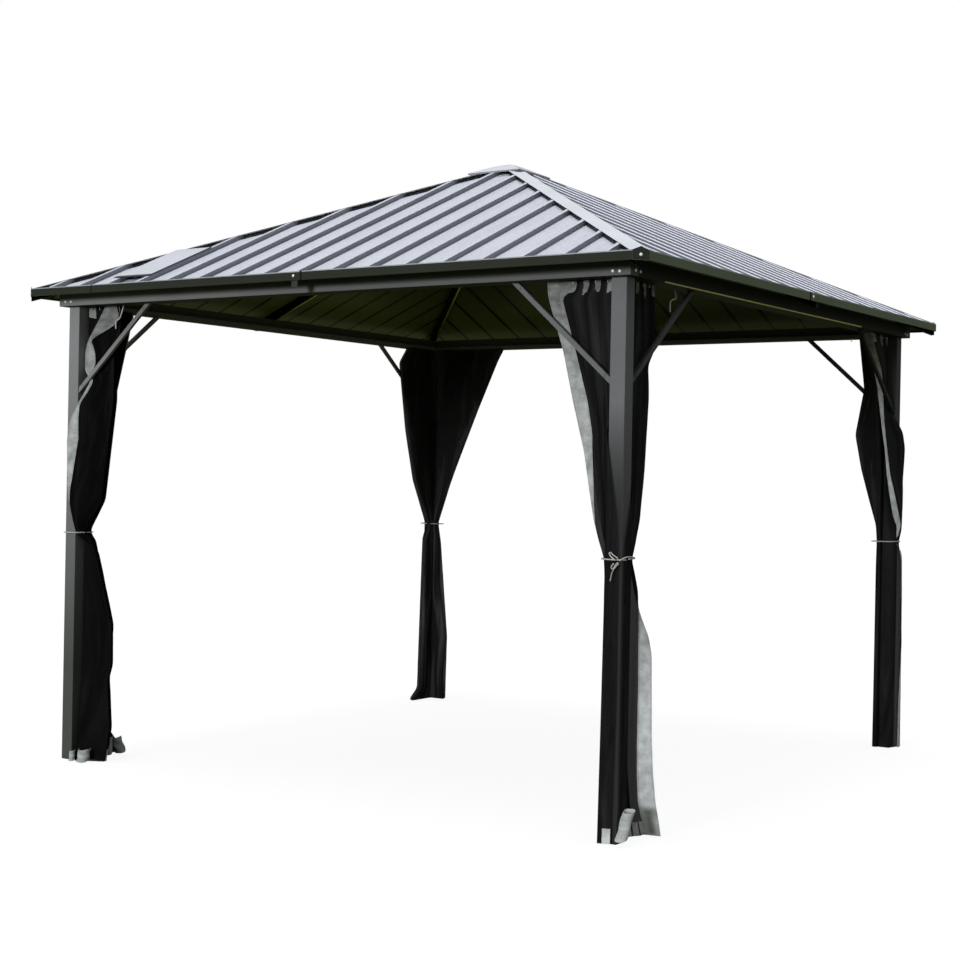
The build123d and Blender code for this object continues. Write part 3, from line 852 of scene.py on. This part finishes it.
def at_heights(table, heights):
    rows = sorted(table)
    levels = [row[0] for row in rows]
    return np.stack([np.interp(heights, levels, [row[k] for row in rows]) for k in (1, 2)], axis=1)


def softened(values, weights):
    half = len(weights) // 2
    padded = np.concatenate([values[:1]] * half + [values] + [values[-1:]] * half)
    return sum(w * padded[k:k + len(values)] for k, w in enumerate(weights)) / sum(weights)


def in_frame(side, hand, s, n):
    x, y = hand * (post_inner - s), -n
    for k in range(quarter_of[side]):
        x, y = -y, x
    return x, y


def gathered(
    name, side, hand, seed, cloth, far, border, edge, veil=None, corner=None, via=(), under=(-2, -1)
):
    bpy.ops.object.select_all(action="DESELECT")
    bpy.ops.mesh.primitive_grid_add(x_subdivisions=net_columns, y_subdivisions=net_rows, size=1)
    piece = bpy.context.object
    piece.name = name
    heights = np.linspace(net_top, net_bottom, net_rows + 1)
    still = [(0, 0.006, pass_line), (2, 0.006, pass_line)]
    stations = [
        (0, veil or still), (0.045, corner or still), (0.07, still),
        (0.14, [(z, s, pass_line) for z, s in far]), (mass_from, [(z, s, mass_mid) for z, s in far]),
        (mass_to, [(0, 0.012, mass_mid), (2, 0.012, mass_mid)]),
        (panel_from, [(0, 0.012, panel_line), (2, 0.012, panel_line)]),
        *via, (1 - border_width / net_width, border), (1, edge),
    ]
    shares = [share for share, table in stations]
    keys = np.stack([softened(at_heights(table, heights), (1, 2, 1)) for share, table in stations], axis=1)
    along = np.linspace(0, 1, net_columns + 1)
    in_mass = np.interp(along, [mass_from, 0.17, 0.68, mass_to], [0, 1, 1, 0])
    in_panel = np.interp(along, [panel_from, 0.74, 0.90, 0.925, 1], [0, 1, 1, 0.5, 0.35])
    swing = (along - mass_from) / (mass_to - mass_from)
    spots = np.zeros((net_rows + 1, net_columns + 1, 3))
    for r, z in enumerate(heights):
        s = softened(np.interp(along, shares, keys[r, :, 0]), (1, 2, 2, 2, 1))
        n = softened(np.interp(along, shares, keys[r, :, 1]), (1, 2, 2, 2, 1))
        drift = 0.8 * np.sin(7 * swing + seed) + 0.4 * np.sin(1.9 * z + 11 * swing + seed)
        beat = 2 * math.pi * pleat_count * swing + drift
        room = 0.82 + 0.18 * np.sin(23 * swing + 3 * seed + 1.3 * z)
        ripple = 0.0024 * np.sin(43 * along + seed + 1.1 * z)
        ripple = ripple + 0.0016 * np.sin(97 * along + 2 * seed - 1.7 * z)
        wrinkle = np.array([noise.noise((a * 26 + seed, z * 11, seed)) for a in along]) * 0.0022
        n = n + pleat_half * room * np.sin(beat) * in_mass + (ripple + wrinkle) * in_panel
        spots[r, :, 0], spots[r, :, 1] = in_frame(side, hand, s, n)
        spots[r, :, 2] = z
    mesh = piece.data
    layer = mesh.uv_layers.active or mesh.uv_layers.new()
    layer.name = "cloth"
    where = [
        (round((v.co.x + 0.5) * net_columns), round((0.5 - v.co.y) * net_rows)) for v in mesh.vertices
    ]
    for vertex, (c, r) in zip(mesh.vertices, where):
        vertex.co = spots[r, c]
    kept = np.interp(heights, under, [0.0, 1.0])
    for loop in mesh.loops:
        c, r = where[loop.vertex_index]
        hidden = border_width * (1 - kept[r]) * np.clip((along[c] - 0.7) / 0.2, 0, 1)
        layer.data[loop.index].uv = (along[c] * net_width - hidden, r / net_rows * net_drop)
    mesh.materials.append(cloth)
    bpy.ops.object.shade_smooth()
    area = sum(face.area for face in mesh.polygons)
    print(name, "cloth", round(area, 2), "of", round(net_width * net_drop, 2), "square metres")
    return piece


print("a curtain has", net_columns * net_rows, "faces")

# %% [markdown]
# On the near post both curtains swing out over the post below the braces, and the right one turns its
# border to the front lower down.

# %% Curtains at the near post
curtains = {}
curtains["front_right"] = [
    gathered(
        "net_front_at_front_right", "front", 1, 1.0, banded_net,
        veil=[
            (2.0, 0.006, 1.292), (1.56, 0.006, 1.292), (1.42, 0.004, 1.371), (1.12, -0.046, 1.371),
            (0.98, -0.054, 1.371), (0.5, -0.056, 1.375), (0, -0.046, 1.380),
        ],
        corner=[
            (2.0, 0.007, 1.292), (1.56, 0.007, 1.292), (1.42, 0.007, 1.371), (0.9, 0.007, 1.371),
            (0.4, 0.006, 1.382), (0, 0.002, 1.398),
        ],
        under=(1.05, 1.40),
        far=[
            (1.948, 0.250), (1.778, 0.205), (1.529, 0.140), (1.354, 0.096), (1.25, 0.086), (1.18, 0.072),
            (1.11, 0.060), (1.041, 0.040), (0.986, 0.022), (0.92, 0.020), (0.5, 0.020), (0, 0.026),
        ],
        border=[
            (1.948, 0.180, 1.326), (1.911, 0.182, 1.326), (1.895, 0.222, 1.326), (1.847, 0.207, 1.326),
            (1.705, 0.161, 1.327), (1.529, 0.108, 1.328), (1.441, 0.090, 1.329), (1.354, 0.078, 1.330),
            (1.25, 0.060, 1.332), (1.18, 0.050, 1.333), (1.111, 0.038, 1.335), (1.024, 0.024, 1.345),
            (0.92, 0.020, 1.340), (0, 0.022, 1.340),
        ],
        edge=[
            (1.948, 0.281, 1.330), (1.907, 0.278, 1.330), (1.849, 0.260, 1.330), (1.706, 0.210, 1.330),
            (1.529, 0.167, 1.330), (1.354, 0.118, 1.330), (1.18, 0.086, 1.330), (1.11, 0.073, 1.330),
            (1.041, 0.050, 1.332), (0.986, 0.028, 1.335), (0.92, 0.024, 1.312), (0.694, 0.024, 1.310),
            (0.206, 0.028, 1.305), (0, 0.032, 1.300),
        ],
    ),
    gathered(
        "net_right_at_front_right", "right", -1, 2.2, banded_net,
        veil=[
            (2.0, 0.006, 1.292), (1.34, 0.006, 1.292), (1.22, 0.004, 1.371), (1.04, -0.046, 1.371),
            (0.98, -0.050, 1.371), (0, -0.050, 1.373),
        ],
        corner=[(2.0, 0.007, 1.292), (1.34, 0.007, 1.292), (1.22, 0.007, 1.371), (0, 0.007, 1.372)],
        far=[
            (1.948, 0.215), (1.719, 0.222), (1.662, 0.175), (1.538, 0.188), (1.288, 0.166), (1.110, 0.130),
            (1.05, 0.090), (0.98, 0.034), (0.92, 0.060), (0.79, 0.100), (0.679, 0.095), (0.244, 0.105),
            (0, 0.150),
        ],
        border=[
            (1.948, 0.226, 1.324), (1.719, 0.236, 1.324), (1.662, 0.189, 1.324), (1.538, 0.200, 1.324),
            (1.288, 0.180, 1.324), (1.110, 0.148, 1.326), (1.022, 0.090, 1.340), (0.975, 0.024, 1.364),
            (0.93, 0.050, 1.362), (0.862, 0.098, 1.350), (0.797, 0.075, 1.365), (0.72, 0.060, 1.375),
            (0.65, 0.060, 1.375), (0.55, 0.063, 1.375), (0.34, 0.061, 1.375), (0.234, 0.065, 1.375),
            (0.127, 0.077, 1.375), (0.07, 0.102, 1.375), (0, 0.142, 1.375),
        ],
        edge=[
            (1.948, 0.206, 1.280), (1.719, 0.216, 1.280), (1.538, 0.180, 1.280), (1.2, 0.150, 1.280),
            (1.05, 0.095, 1.285), (0.975, 0.036, 1.330), (0.90, 0.075, 1.335), (0.84, 0.095, 1.335),
            (0.80, 0.078, 1.362), (0.76, 0.044, 1.398), (0.716, 0.034, 1.426), (0.644, 0.055, 1.430),
            (0.557, 0.058, 1.430), (0.346, 0.067, 1.430), (0.24, 0.079, 1.430), (0.132, 0.102, 1.430),
            (0.076, 0.124, 1.430), (0, 0.148, 1.430),
        ],
    ),
]

# %% [markdown]
# At the left post the front curtain's border falls behind the brace, comes out under it and lies over the
# post's front as far as the tie. The left curtain spreads at its foot.

# %% Curtains at the left post
curtains["front_left"] = [
    gathered(
        "net_front_at_front_left", "front", -1, 3.1, dark_net,
        under=(1.10, 1.38),
        far=[
            (1.948, 0.195), (1.811, 0.200), (1.753, 0.166), (1.548, 0.170), (1.335, 0.140), (1.12, 0.110),
            (1.055, 0.066), (1.0, 0.027), (0.976, 0.020), (0.947, 0.054), (0.862, 0.080), (0.736, 0.124),
            (0.589, 0.170), (0.419, 0.174), (0.353, 0.152), (0.154, 0.168), (0.048, 0.155), (0, 0.142),
        ],
        via=[
            (0.735, [(2.0, 0.014, 1.323), (0.35, 0.015, 1.325), (0.12, 0.028, 1.360), (0, 0.040, 1.392)]),
            (0.80, [
                (1.948, 0.208, 1.324), (1.811, 0.212, 1.324), (1.753, 0.178, 1.324), (1.548, 0.183, 1.324),
                (1.335, 0.153, 1.324), (1.12, 0.122, 1.324), (1.055, 0.076, 1.324), (1.0, 0.032, 1.325),
                (0.976, 0.025, 1.325), (0.947, 0.064, 1.325), (0.862, 0.091, 1.322), (0.736, 0.137, 1.322),
                (0.589, 0.183, 1.322), (0.419, 0.187, 1.322), (0.353, 0.165, 1.322), (0.154, 0.182, 1.322),
                (0.048, 0.166, 1.322), (0, 0.153, 1.322),
            ]),
        ],
        border=[
            (1.95, 0.183, 1.331), (1.887, 0.212, 1.331), (1.871, 0.194, 1.331), (1.843, 0.125, 1.332),
            (1.823, 0.071, 1.332), (1.808, 0.030, 1.332), (1.781, 0.054, 1.332), (1.738, 0.068, 1.332),
            (1.695, 0.069, 1.332), (1.661, 0.042, 1.334), (1.636, 0.080, 1.350), (1.585, 0.046, 1.352),
            (1.53, 0.010, 1.366), (1.466, 0.008, 1.369), (1.414, 0.010, 1.370), (1.246, 0.023, 1.370),
            (1.08, 0.026, 1.369), (1.01, 0.017, 1.368), (0.97, 0.020, 1.352), (0.90, 0.082, 1.304),
            (0.736, 0.130, 1.302), (0.589, 0.176, 1.302), (0.353, 0.160, 1.302), (0.154, 0.176, 1.302),
            (0, 0.148, 1.302),
        ],
        edge=[
            (1.95, 0.123, 1.333), (1.887, 0.079, 1.333), (1.843, 0.048, 1.333), (1.808, 0.022, 1.333),
            (1.765, 0.005, 1.333), (1.713, 0.004, 1.333), (1.68, 0.006, 1.334), (1.661, 0.018, 1.336),
            (1.636, 0.067, 1.352), (1.585, 0.032, 1.356), (1.53, 0.004, 1.370), (1.466, -0.036, 1.372),
            (1.414, -0.053, 1.372), (1.354, -0.056, 1.372), (1.246, -0.050, 1.372), (1.16, -0.047, 1.372),
            (1.08, -0.027, 1.371), (1.01, -0.005, 1.370), (0.97, 0.010, 1.366), (0.90, 0.060, 1.284),
            (0.736, 0.100, 1.282), (0.589, 0.140, 1.282), (0.154, 0.140, 1.282), (0, 0.118, 1.282),
        ],
    ),
    gathered(
        "net_left_at_front_left", "left", 1, 4.4, dark_net,
        far=[
            (1.948, 0.250), (1.5, 0.140), (1.1, 0.045), (1.0, 0.021), (0.97, 0.018), (0.9, 0.036),
            (0.5, 0.100), (0.126, 0.138), (0.05, 0.205), (0, 0.242),
        ],
        border=[
            (1.948, 0.190, 1.325), (1.5, 0.110, 1.326), (1.1, 0.040, 1.330), (0.97, 0.016, 1.332),
            (0.9, 0.030, 1.330), (0.5, 0.065, 1.325), (0, 0.080, 1.325),
        ],
        edge=[
            (1.948, 0.290, 1.328), (1.5, 0.170, 1.330), (1.1, 0.055, 1.330), (1.0, 0.024, 1.325),
            (0.97, 0.020, 1.325), (0.9, 0.040, 1.325), (0.5, 0.110, 1.330), (0, 0.145, 1.330),
        ],
    ),
]

# %% [markdown]
# At the right post the right curtain wraps the post's outside and comes back, so its border stands as a
# narrow bright strip that faces the front. The two curtains at the far post are plain from this side.

# %% Curtains at the right post
curtains["back_right"] = [
    gathered(
        "net_right_at_back_right", "right", 1, 5.3, bright_net,
        far=[
            (1.948, 0.290), (1.87, 0.245), (1.78, 0.145), (1.70, 0.098), (1.55, 0.075), (1.41, 0.055),
            (1.27, 0.040), (0.98, 0.026), (0.5, 0.030), (0, 0.034),
        ],
        via=[
            (0.735, [(2.0, 0.020, 1.323), (1.60, 0.016, 1.326), (1.50, 0.010, 1.370), (0, 0.009, 1.371)]),
            (0.80, [
                (2.0, 0.030, 1.325), (1.62, 0.016, 1.330), (1.56, 0.006, 1.373), (1.50, -0.050, 1.388),
                (1.427, -0.062, 1.397), (1.345, -0.062, 1.394), (1.27, -0.062, 1.388),
                (1.15, -0.062, 1.390), (1.03, -0.062, 1.384), (0.975, -0.058, 1.3725),
                (0.9, -0.060, 1.384), (0.6, -0.060, 1.389), (0.2, -0.060, 1.392), (0, -0.060, 1.394),
            ]),
        ],
        border=[
            (1.948, 0.304, 1.352), (1.87, 0.268, 1.360), (1.78, 0.157, 1.350), (1.70, 0.104, 1.338),
            (1.55, 0.102, 1.345), (1.41, 0.095, 1.360), (1.295, 0.097, 1.378), (1.177, 0.072, 1.400),
            (1.105, 0.026, 1.400), (1.057, -0.018, 1.394), (1.01, -0.025, 1.380), (0.975, -0.022, 1.3735),
            (0.94, -0.030, 1.382), (0.9, -0.034, 1.388), (0.7, -0.050, 1.391), (0.5, -0.060, 1.393),
            (0.2, -0.030, 1.394), (0, -0.020, 1.396),
        ],
        edge=[
            (1.948, 0.302, 1.310), (1.87, 0.265, 1.312), (1.78, 0.156, 1.312), (1.70, 0.105, 1.312),
            (1.55, 0.101, 1.330), (1.41, 0.0886, 1.348), (1.295, 0.097, 1.363), (1.177, 0.069, 1.372),
            (1.105, 0.030, 1.372), (1.057, -0.010, 1.374), (1.01, 0.0, 1.372), (0.975, 0.0, 1.3715),
            (0.94, -0.060, 1.384), (0.9, -0.061, 1.390), (0.7, -0.061, 1.393), (0.5, -0.0615, 1.394),
            (0.2, -0.060, 1.396), (0, -0.058, 1.398),
        ],
    ),
    gathered(
        "net_back_at_back_right", "back", -1, 6.7, plain_net,
        far=[
            (1.948, 0.126), (1.706, 0.097), (1.485, 0.137), (1.317, 0.103), (1.174, 0.061), (1.056, 0.024),
            (0.98, 0.018), (0.865, 0.020), (0, 0.020),
        ],
        border=[
            (1.948, 0.080, 1.326), (1.485, 0.090, 1.326), (1.174, 0.040, 1.326), (0.98, 0.016, 1.328),
            (0, 0.016, 1.326),
        ],
        edge=[
            (1.948, 0.120, 1.330), (1.706, 0.090, 1.330), (1.485, 0.130, 1.330), (1.317, 0.096, 1.330),
            (1.174, 0.055, 1.330), (0.98, 0.018, 1.332), (0, 0.020, 1.332),
        ],
    ),
]

# %% [markdown]
# The curtains at the far post hang wide at the head and narrow to their tie.

# %% Curtains at the far post
curtains["back_left"] = [
    gathered(
        "net_back_at_back_left", "back", 1, 7.9, plain_net,
        far=[
            (1.948, 0.455), (1.885, 0.417), (1.616, 0.291), (1.254, 0.132), (0.983, 0.022), (0.877, 0.049),
            (0.647, 0.047), (0.353, 0.105), (0.133, 0.083), (0, 0.098),
        ],
        border=[
            (1.948, 0.330, 1.326), (1.616, 0.200, 1.326), (1.254, 0.080, 1.326), (0.983, 0.018, 1.326),
            (0.877, 0.030, 1.326), (0, 0.050, 1.326),
        ],
        edge=[
            (1.948, 0.430, 1.330), (1.616, 0.270, 1.330), (1.254, 0.115, 1.330), (0.983, 0.020, 1.330),
            (0.877, 0.040, 1.330), (0.353, 0.095, 1.330), (0, 0.09, 1.330),
        ],
    ),
    gathered(
        "net_left_at_back_left", "left", -1, 9.1, plain_net,
        far=[
            (1.948, 0.262), (1.865, 0.332), (1.767, 0.324), (1.496, 0.265), (1.222, 0.190), (0.999, 0.060),
            (0.96, 0.040), (0.9, 0.075), (0.062, 0.096), (0.009, 0.179),
        ],
        border=[
            (1.948, 0.180, 1.326), (1.496, 0.170, 1.326), (1.222, 0.110, 1.326), (0.999, 0.040, 1.326),
            (0.96, 0.030, 1.326), (0.9, 0.055, 1.326), (0, 0.070, 1.326),
        ],
        edge=[
            (1.948, 0.250, 1.330), (1.865, 0.320, 1.330), (1.496, 0.250, 1.330), (1.222, 0.170, 1.330),
            (0.999, 0.050, 1.330), (0.96, 0.036, 1.330), (0.9, 0.065, 1.330), (0.062, 0.090, 1.330),
            (0.009, 0.160, 1.330),
        ],
    ),
]

# %% [markdown]
# Some hems have rolled up at the feet of the posts. A roll is a small grid wound round a leaning line: one and
# a half turns at the near post, and half turns at the left one.

# %% Rolled hems
def rolled(name, roll_foot, roll_head, size, turns, first):
    bpy.ops.object.select_all(action="DESELECT")
    bpy.ops.mesh.primitive_grid_add(x_subdivisions=48, y_subdivisions=16, size=1)
    piece = bpy.context.object
    piece.name = name
    layer = piece.data.uv_layers.active
    layer.name = "cloth"
    flat = [(v.co.x + 0.5, v.co.y + 0.5) for v in piece.data.vertices]
    for vertex, (a, b) in zip(piece.data.vertices, flat):
        angle = 2 * math.pi * turns * a + first
        radius = size * (1 - 0.22 * a / max(turns, 1) + 0.07 * math.sin(9 * b + 12 * a))
        middle = Vector(roll_foot).lerp(Vector(roll_head), b)
        sideways, inward = radius * math.cos(angle), radius * math.sin(angle)
        vertex.co = middle + Vector((sideways, inward, 0.25 * inward))
    for loop in piece.data.loops:
        a, b = flat[loop.vertex_index]
        layer.data[loop.index].uv = (1.275 + 0.06 * a, 0.5 + 0.11 * b)
    piece.data.materials.append(banded_net)
    bpy.ops.object.shade_smooth()
    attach(piece, "root")
    print(name, [round(v, 3) for v in piece.dimensions])
    return piece


hems = {
    "net_right_at_front_right": [
        rolled("hem_near", (1.398, -1.387, 0.026), (1.401, -1.342, 0.118), 0.0225, 1.45, 2.2),
    ],
    "net_front_at_front_left": [
        rolled("hem_left_a", (-1.262, -1.402, 0.008), (-1.262, -1.398, 0.052), 0.013, 0.62, 3.4),
        rolled("hem_left_b", (-1.215, -1.378, 0.009), (-1.212, -1.372, 0.062), 0.030, 0.55, 3.3),
    ],
    "net_left_at_front_left": [
        rolled("hem_left_c", (-1.268, -1.178, 0.005), (-1.270, -1.176, 0.080), 0.016, 0.6, 3.4),
        rolled("hem_left_d", (-1.262, -1.112, 0.009), (-1.266, -1.142, 0.080), 0.026, 0.6, 3.4),
    ],
}

# %% [markdown]
# ## Hooks
# The heads hang on small open rings under the rail. A ring is a little round spun most of the way about
# an axis; the copies sit along the head of every curtain.

# %% Hooks under the rail
bpy.ops.object.select_all(action="DESELECT")
hook_wire, hook_ring, hook_height, rail_line = 0.0011, 0.0058, 1.9415, 1.3235
bpy.ops.mesh.primitive_circle_add(
    vertices=8, radius=hook_wire, fill_type="NGON",
    location=(hook_ring, 0, 0), rotation=(math.radians(90), 0, 0),
)
hook = bpy.context.object
bpy.ops.object.transform_apply(location=True, rotation=True)
bpy.ops.object.mode_set(mode="EDIT")
bpy.ops.mesh.select_all(action="SELECT")
bpy.ops.mesh.spin(steps=18, angle=math.radians(300), center=(0, 0, 0), axis=(0, 0, 1))
bpy.ops.mesh.select_all(action="SELECT")
bpy.ops.mesh.normals_make_consistent(inside=False)
bpy.ops.object.mode_set(mode="OBJECT")
bpy.ops.object.shade_smooth()
hook.data.materials.append(bolt_zinc)
hook_places = []
for side in sides:
    for hand in (1, -1):
        for s in (0.035, 0.085, 0.130, 0.175):
            x, y = in_frame(side, hand, s, rail_line)
            hook_places.append(((x, y, hook_height), in_frame(side, hand, post_inner - hand, 0) + (0,)))
hooks = copies(hook, "curtain_hooks", hook_places)
bpy.data.objects.remove(hook)
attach(hooks, "root")

# %% [markdown]
# Each curtain is attached to the root body and takes the plain solid's place.

# %% Hang the curtains
for corner, pair in curtains.items():
    for piece in pair:
        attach(piece, "root")
        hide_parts("netting_" + corner)
print("hung", sum(len(pair) for pair in curtains.values()), "curtains")
